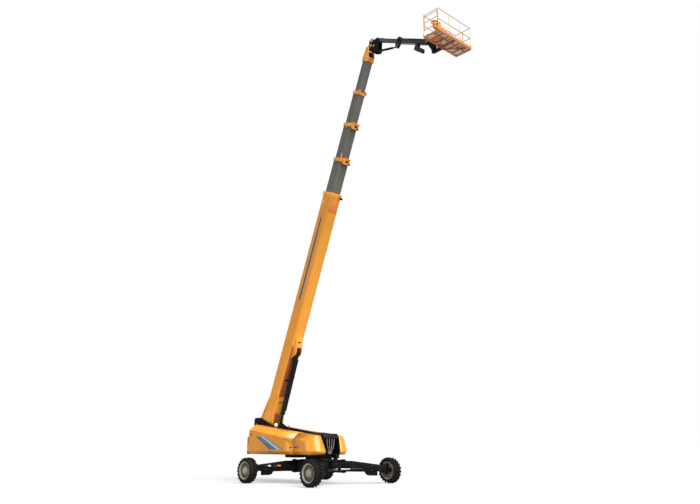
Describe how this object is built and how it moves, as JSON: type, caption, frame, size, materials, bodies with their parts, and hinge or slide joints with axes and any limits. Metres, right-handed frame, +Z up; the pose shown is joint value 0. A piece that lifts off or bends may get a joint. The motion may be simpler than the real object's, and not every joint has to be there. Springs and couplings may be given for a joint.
{
  "type": "telescopic boom lift",
  "caption": "Wheeled access platform with a telescoping boom and a short jib on a slewing turntable, standing on swing-out legs with hooded machinery bays.",
  "frame": {"origin": "on the ground under the middle of the bounding box", "axes": "+X forward from the counterweight towards the platform, +Y to the machine's left, +Z up"},
  "size_m": [14.135, 5.445, 22.3979],
  "materials": {
    "yellow_paint": "gloss orange-yellow paint",
    "black_paint": "satin black paint",
    "grey_paint": "satin dark grey paint",
    "orange_paint": "gloss orange paint",
    "black_cylinder": "gloss black paint",
    "dark_rod": "dark nitrided steel",
    "tyre_rubber": "matte black rubber",
    "rim_silver": "silver paint",
    "casting": "black painted casting",
    "bearing_steel": "oiled steel",
    "hose_rubber": "weathered grey-black rubber",
    "console_yellow": "yellow box"
  },
  "bodies": {
    "chassis": {"chassis_frame": "black_paint"},
    "turntable": {"slew_ring": "bearing_steel", "turntable_frame": "black_paint", "counterweight": "casting", "engine_block": "casting", "channel_hoses": "hose_rubber"},
    "boom_base": {"boom_base": "yellow_paint"},
    "lift_barrel": {"lift_barrel": "black_cylinder"},
    "lift_rod": {"lift_rod": "dark_rod"},
    "section_two": {"boom_section_two": "grey_paint", "boom_collar_two": "yellow_paint"},
    "section_three": {"boom_section_three": "grey_paint", "boom_collar_three": "yellow_paint"},
    "section_four": {"boom_section_four": "grey_paint", "boom_collar_four": "yellow_paint"},
    "section_five": {"boom_section_five": "grey_paint", "boom_head": "yellow_paint"},
    "jib_mount": {"jib_mount": "black_paint", "head_hoses": "hose_rubber"},
    "jib": {"jib_inner": "grey_paint"},
    "jib_barrel": {"jib_barrel": "black_cylinder"},
    "jib_rod": {"jib_rod": "dark_rod"},
    "jib_sleeve": {"jib_outer": "grey_paint"},
    "level_head": {"level_bracket": "black_paint"},
    "platform": {"platform_mount": "black_paint", "platform_floor": "orange_paint", "platform_rails": "orange_paint", "platform_console": "console_yellow", "console_cable": "hose_rubber"},
    "gate": {"platform_gate": "orange_paint"},
    "leg_front_left": {"leg_front_left": "black_paint"},
    "leg_barrel_front_left": {"leg_barrel_front_left": "rim_silver"},
    "leg_rod_front_left": {"leg_rod_front_left": "dark_rod"},
    "knuckle_front_left": {"knuckle_front_left": "black_paint"},
    "wheel_front_left": {"rim_front_left": "rim_silver", "tyre_front_left": "tyre_rubber"},
    "leg_front_right": {"leg_front_right": "black_paint"},
    "leg_barrel_front_right": {"leg_barrel_front_right": "rim_silver"},
    "leg_rod_front_right": {"leg_rod_front_right": "dark_rod"},
    "knuckle_front_right": {"knuckle_front_right": "black_paint"},
    "wheel_front_right": {"rim_front_right": "rim_silver", "tyre_front_right": "tyre_rubber"},
    "leg_rear_left": {"leg_rear_left": "black_paint"},
    "leg_barrel_rear_left": {"leg_barrel_rear_left": "rim_silver"},
    "leg_rod_rear_left": {"leg_rod_rear_left": "dark_rod"},
    "knuckle_rear_left": {"knuckle_rear_left": "black_paint"},
    "wheel_rear_left": {"rim_rear_left": "rim_silver", "tyre_rear_left": "tyre_rubber"},
    "leg_rear_right": {"leg_rear_right": "black_paint"},
    "leg_barrel_rear_right": {"leg_barrel_rear_right": "rim_silver"},
    "leg_rod_rear_right": {"leg_rod_rear_right": "dark_rod"},
    "knuckle_rear_right": {"knuckle_rear_right": "black_paint"},
    "wheel_rear_right": {"rim_rear_right": "rim_silver", "tyre_rear_right": "tyre_rubber"},
    "hood_left_rear": {"hood_left_rear": "yellow_paint"},
    "hood_left_front": {"hood_left_front": "yellow_paint"},
    "hood_right_rear": {"hood_right_rear": "yellow_paint"},
    "hood_right_front": {"hood_right_front": "yellow_paint"}
  },
  "joints": [
    {"name": "slew", "type": "hinge", "parent": "chassis", "child": "turntable", "pos_m": [-2.2775, 0, 1.2], "axis": [0, 0, 1], "continuous": true},
    {"name": "boom_lift", "type": "hinge", "parent": "turntable", "child": "boom_base", "pos_m": [-6.57761, 0, 2.89964], "axis": [0, -1, 0], "range_deg": [-64, 10]},
    {"name": "lift_barrel_turn", "type": "hinge", "parent": "boom_base", "child": "lift_barrel", "pos_m": [-4.05482, 0, 6.46629], "axis": [0, -1, 0], "range_deg": [-0.41, 2.65]},
    {"name": "lift_rod_slide", "type": "slide", "parent": "lift_barrel", "child": "lift_rod", "axis": [-0.3428, 0, -0.9394], "range_m": [-1.44291, 0.22554]},
    {"name": "telescope_two", "type": "slide", "parent": "boom_base", "child": "section_two", "axis": [0.3746, 0, 0.9272], "range_m": [-1.5, 7.5]},
    {"name": "telescope_three", "type": "slide", "parent": "section_two", "child": "section_three", "axis": [0.3746, 0, 0.9272], "range_m": [-1.5, 7.5]},
    {"name": "telescope_four", "type": "slide", "parent": "section_three", "child": "section_four", "axis": [0.3746, 0, 0.9272], "range_m": [-1.5, 7.5]},
    {"name": "telescope_five", "type": "slide", "parent": "section_four", "child": "section_five", "axis": [0.3746, 0, 0.9272], "range_m": [-1.5, 7.5]},
    {"name": "head_level", "type": "hinge", "parent": "section_five", "child": "jib_mount", "pos_m": [1.52314, 0, 21.90062], "axis": [0, -1, 0], "range_deg": [-10, 64]},
    {"name": "jib_lift", "type": "hinge", "parent": "jib_mount", "child": "jib", "pos_m": [2.17249, 0, 22.13], "axis": [0, 1, 0], "range_deg": [-55, 20]},
    {"name": "jib_barrel_turn", "type": "hinge", "parent": "jib_mount", "child": "jib_barrel", "pos_m": [2.14249, 0, 21.52], "axis": [0, 1, 0], "range_deg": [-53.22, 19.35]},
    {"name": "jib_rod_slide", "type": "slide", "parent": "jib_barrel", "child": "jib_rod", "axis": [0.9668, 0, -0.2553], "range_m": [-0.19776, 0.54367]},
    {"name": "jib_telescope", "type": "slide", "parent": "jib", "child": "jib_sleeve", "axis": [0.8988, 0, -0.4384], "range_m": [0, 1.35]},
    {"name": "platform_level", "type": "hinge", "parent": "jib_sleeve", "child": "level_head", "pos_m": [5.4441, 0, 20.53433], "axis": [0, 1, 0], "range_deg": [-20, 55]},
    {"name": "platform_rotate", "type": "hinge", "parent": "level_head", "child": "platform", "pos_m": [5.7825, 0, 19.97003], "axis": [0, 0, 1], "range_deg": [-90, 90]},
    {"name": "gate_hinge", "type": "hinge", "parent": "platform", "child": "gate", "pos_m": [6.9955, -1.195, 19.97003], "axis": [0, 0, -1], "range_deg": [0, 85]},
    {"name": "leg_swing_front_left", "type": "hinge", "parent": "chassis", "child": "leg_front_left", "pos_m": [-1.1275, 0.56, 1.05], "axis": [0, 0, 1], "range_deg": [-45, 0]},
    {"name": "leg_barrel_turn_front_left", "type": "hinge", "parent": "leg_front_left", "child": "leg_barrel_front_left", "pos_m": [-0.38332, 1.11805, 0.68], "axis": [0, 0, 1], "range_deg": [0, 6.49]},
    {"name": "leg_rod_slide_front_left", "type": "slide", "parent": "leg_barrel_front_left", "child": "leg_rod_front_left", "axis": [-0.41, -0.9121, 0], "range_m": [-0.39077, 0.0001]},
    {"name": "steer_front_left", "type": "hinge", "parent": "leg_front_left", "child": "knuckle_front_left", "pos_m": [0.0975, 2.1, 0.87], "axis": [0, 0, -1], "range_deg": [-45, 25]},
    {"name": "wheel_front_left", "type": "hinge", "parent": "knuckle_front_left", "child": "wheel_front_left", "pos_m": [0.0975, 2.5, 0.6], "axis": [0, 1, 0], "continuous": true},
    {"name": "leg_swing_front_right", "type": "hinge", "parent": "chassis", "child": "leg_front_right", "pos_m": [-1.1275, -0.56, 1.05], "axis": [0, 0, -1], "range_deg": [-45, 0]},
    {"name": "leg_barrel_turn_front_right", "type": "hinge", "parent": "leg_front_right", "child": "leg_barrel_front_right", "pos_m": [-0.38332, -1.11805, 0.68], "axis": [0, 0, -1], "range_deg": [0, 6.49]},
    {"name": "leg_rod_slide_front_right", "type": "slide", "parent": "leg_barrel_front_right", "child": "leg_rod_front_right", "axis": [-0.41, 0.9121, 0], "range_m": [-0.39077, 0.0001]},
    {"name": "steer_front_right", "type": "hinge", "parent": "leg_front_right", "child": "knuckle_front_right", "pos_m": [0.0975, -2.1, 0.87], "axis": [0, 0, 1], "range_deg": [-45, 25]},
    {"name": "wheel_front_right", "type": "hinge", "parent": "knuckle_front_right", "child": "wheel_front_right", "pos_m": [0.0975, -2.5, 0.6], "axis": [0, 1, 0], "continuous": true},
    {"name": "leg_swing_rear_left", "type": "hinge", "parent": "chassis", "child": "leg_rear_left", "pos_m": [-3.4275, 0.56, 1.05], "axis": [0, 0, -1], "range_deg": [-45, 0]},
    {"name": "leg_barrel_turn_rear_left", "type": "hinge", "parent": "leg_rear_left", "child": "leg_barrel_rear_left", "pos_m": [-4.17169, 1.11805, 0.68], "axis": [0, 0, -1], "range_deg": [0, 6.49]},
    {"name": "leg_rod_slide_rear_left", "type": "slide", "parent": "leg_barrel_rear_left", "child": "leg_rod_rear_left", "axis": [0.41, -0.9121, 0], "range_m": [-0.39077, 0.0001]},
    {"name": "steer_rear_left", "type": "hinge", "parent": "leg_rear_left", "child": "knuckle_rear_left", "pos_m": [-4.6525, 2.1, 0.87], "axis": [0, 0, 1], "range_deg": [-45, 25]},
    {"name": "wheel_rear_left", "type": "hinge", "parent": "knuckle_rear_left", "child": "wheel_rear_left", "pos_m": [-4.6525, 2.5, 0.6], "axis": [0, 1, 0], "continuous": true},
    {"name": "leg_swing_rear_right", "type": "hinge", "parent": "chassis", "child": "leg_rear_right", "pos_m": [-3.4275, -0.56, 1.05], "axis": [0, 0, 1], "range_deg": [-45, 0]},
    {"name": "leg_barrel_turn_rear_right", "type": "hinge", "parent": "leg_rear_right", "child": "leg_barrel_rear_right", "pos_m": [-4.17169, -1.11805, 0.68], "axis": [0, 0, 1], "range_deg": [0, 6.49]},
    {"name": "leg_rod_slide_rear_right", "type": "slide", "parent": "leg_barrel_rear_right", "child": "leg_rod_rear_right", "axis": [0.41, 0.9121, 0], "range_m": [-0.39077, 0.0001]},
    {"name": "steer_rear_right", "type": "hinge", "parent": "leg_rear_right", "child": "knuckle_rear_right", "pos_m": [-4.6525, -2.1, 0.87], "axis": [0, 0, -1], "range_deg": [-45, 25]},
    {"name": "wheel_rear_right", "type": "hinge", "parent": "knuckle_rear_right", "child": "wheel_rear_right", "pos_m": [-4.6525, -2.5, 0.6], "axis": [0, 1, 0], "continuous": true},
    {"name": "hood_left_rear_hinge", "type": "hinge", "parent": "turntable", "child": "hood_left_rear", "pos_m": [-4.9525, 0.45, 2.61606], "axis": [0.992, 0, -0.1266], "range_deg": [0, 65]},
    {"name": "hood_left_front_hinge", "type": "hinge", "parent": "turntable", "child": "hood_left_front", "pos_m": [-2.2775, 0.45, 2.29304], "axis": [0.9934, 0, -0.1143], "range_deg": [0, 65]},
    {"name": "hood_right_rear_hinge", "type": "hinge", "parent": "turntable", "child": "hood_right_rear", "pos_m": [-4.9525, -0.45, 2.61606], "axis": [-0.992, 0, 0.1266], "range_deg": [0, 65]},
    {"name": "hood_right_front_hinge", "type": "hinge", "parent": "turntable", "child": "hood_right_front", "pos_m": [-2.2775, -0.45, 2.29304], "axis": [-0.9934, 0, 0.1143], "range_deg": [0, 65]}
  ],
  "couplings": [
    {"joint": "lift_barrel_turn", "follows": "boom_lift", "ratio": -0.041356},
    {"joint": "lift_rod_slide", "follows": "boom_lift", "m_per_rad": 1.2917},
    {"joint": "telescope_three", "follows": "telescope_two", "ratio": 1},
    {"joint": "telescope_four", "follows": "telescope_two", "ratio": 1},
    {"joint": "telescope_five", "follows": "telescope_two", "ratio": 1},
    {"joint": "head_level", "follows": "boom_lift", "ratio": -1},
    {"joint": "jib_barrel_turn", "follows": "jib_lift", "ratio": 0.96767},
    {"joint": "jib_rod_slide", "follows": "jib_lift", "m_per_rad": -0.56626},
    {"joint": "platform_level", "follows": "jib_lift", "ratio": -1},
    {"joint": "leg_barrel_turn_front_left", "follows": "leg_swing_front_left", "ratio": -0.14421},
    {"joint": "leg_rod_slide_front_left", "follows": "leg_swing_front_left", "m_per_rad": 0.49741},
    {"joint": "leg_barrel_turn_front_right", "follows": "leg_swing_front_right", "ratio": -0.14421},
    {"joint": "leg_rod_slide_front_right", "follows": "leg_swing_front_right", "m_per_rad": 0.49741},
    {"joint": "leg_barrel_turn_rear_left", "follows": "leg_swing_rear_left", "ratio": -0.14421},
    {"joint": "leg_rod_slide_rear_left", "follows": "leg_swing_rear_left", "m_per_rad": 0.49741},
    {"joint": "leg_barrel_turn_rear_right", "follows": "leg_swing_rear_right", "ratio": -0.14421},
    {"joint": "leg_rod_slide_rear_right", "follows": "leg_swing_rear_right", "m_per_rad": 0.49741}
  ]
}
